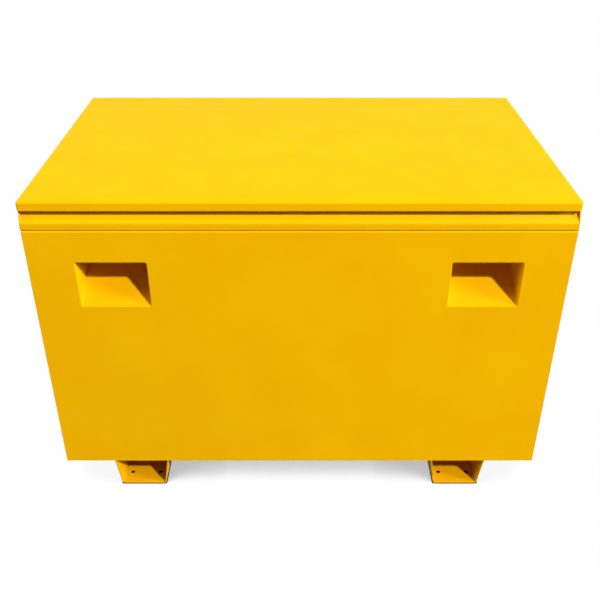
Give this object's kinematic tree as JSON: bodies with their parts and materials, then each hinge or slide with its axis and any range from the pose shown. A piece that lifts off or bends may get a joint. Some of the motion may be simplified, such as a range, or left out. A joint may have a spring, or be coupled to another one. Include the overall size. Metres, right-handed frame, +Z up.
{
  "type": "site storage chest",
  "caption": "Top-opening folded-steel site chest on channel skids, with a flat hinged lid on gas struts and recessed padlock pockets in its front.",
  "frame": {"origin": "on the ground, under the middle of the chest's outline", "axes": "+X along the chest's width to its right, +Y to its back where the hinge is, +Z up"},
  "size_m": [1.22, 0.7552, 0.8201],
  "materials": {
    "yellow_paint": "satin powder coat",
    "black_lacquer": "semi-gloss lacquer",
    "black_nylon": "moulded nylon",
    "chrome_rod": "ground and chromed",
    "zinc_plate": "zinc plated",
    "seal_rubber": "closed-cell foam rubber"
  },
  "bodies": {
    "body": {"front_panel": "yellow_paint", "back_panel": "yellow_paint", "left_end_panel": "yellow_paint", "right_end_panel": "yellow_paint", "floor_pan": "yellow_paint", "front_rim": "yellow_paint", "left_weather_lip": "yellow_paint", "right_weather_lip": "yellow_paint", "back_weather_lip": "yellow_paint", "left_lock_pocket": "yellow_paint", "right_lock_pocket": "yellow_paint", "left_lock_staple": "yellow_paint", "right_lock_staple": "yellow_paint", "left_skid": "yellow_paint", "right_skid": "yellow_paint", "hinge_body_leaf": "zinc_plate", "hinge_pin": "zinc_plate", "left_strut_mount": "yellow_paint", "right_strut_mount": "yellow_paint", "left_body_ball_stud": "zinc_plate", "right_body_ball_stud": "zinc_plate", "left_body_stud_nut": "zinc_plate", "right_body_stud_nut": "zinc_plate"},
    "lid": {"lid_shell": "yellow_paint", "left_lid_stiffener": "yellow_paint", "right_lid_stiffener": "yellow_paint", "hinge_lid_leaf": "zinc_plate", "seal_front": "seal_rubber", "seal_back": "seal_rubber", "seal_left": "seal_rubber", "seal_right": "seal_rubber", "left_lock_tongue": "yellow_paint", "right_lock_tongue": "yellow_paint", "left_lid_strut_bracket": "yellow_paint", "right_lid_strut_bracket": "yellow_paint", "left_lid_ball_stud": "zinc_plate", "right_lid_ball_stud": "zinc_plate", "left_lid_stud_nut": "zinc_plate", "right_lid_stud_nut": "zinc_plate"},
    "left_strut_tube": {"left_strut_cylinder": "black_lacquer", "left_strut_gland": "black_nylon", "left_strut_cylinder_socket": "black_nylon"},
    "left_strut_piston": {"left_strut_rod": "chrome_rod", "left_strut_rod_socket": "black_nylon"},
    "right_strut_tube": {"right_strut_cylinder": "black_lacquer", "right_strut_gland": "black_nylon", "right_strut_cylinder_socket": "black_nylon"},
    "right_strut_piston": {"right_strut_rod": "chrome_rod", "right_strut_rod_socket": "black_nylon"}
  },
  "joints": [
    {"name": "lid_hinge", "type": "hinge", "parent": "body", "child": "lid", "pos_m": [0, 0.37215, 0.7966], "axis": [-1, 0, 0], "range_deg": [0, 80]},
    {"name": "left_strut_foot", "type": "hinge", "parent": "body", "child": "left_strut_tube", "pos_m": [-0.568, 0.28323, 0.55228], "axis": [-1, 0, 0], "range_deg": [0, 40]},
    {"name": "left_strut_head", "type": "hinge", "parent": "lid", "child": "left_strut_piston", "pos_m": [-0.568, 0.11215, 0.7966], "axis": [-1, 0, 0], "range_deg": [-40, 0]},
    {"name": "right_strut_foot", "type": "hinge", "parent": "body", "child": "right_strut_tube", "pos_m": [0.568, 0.28323, 0.55228], "axis": [-1, 0, 0], "range_deg": [0, 40]},
    {"name": "right_strut_head", "type": "hinge", "parent": "lid", "child": "right_strut_piston", "pos_m": [0.568, 0.11215, 0.7966], "axis": [-1, 0, 0], "range_deg": [-40, 0]}
  ],
  "couplings": [
    {"joint": "left_strut_foot", "follows": "lid_hinge", "ratio": 0.5},
    {"joint": "left_strut_head", "follows": "lid_hinge", "ratio": -0.5},
    {"joint": "right_strut_foot", "follows": "lid_hinge", "ratio": 0.5},
    {"joint": "right_strut_head", "follows": "lid_hinge", "ratio": -0.5}
  ]
}
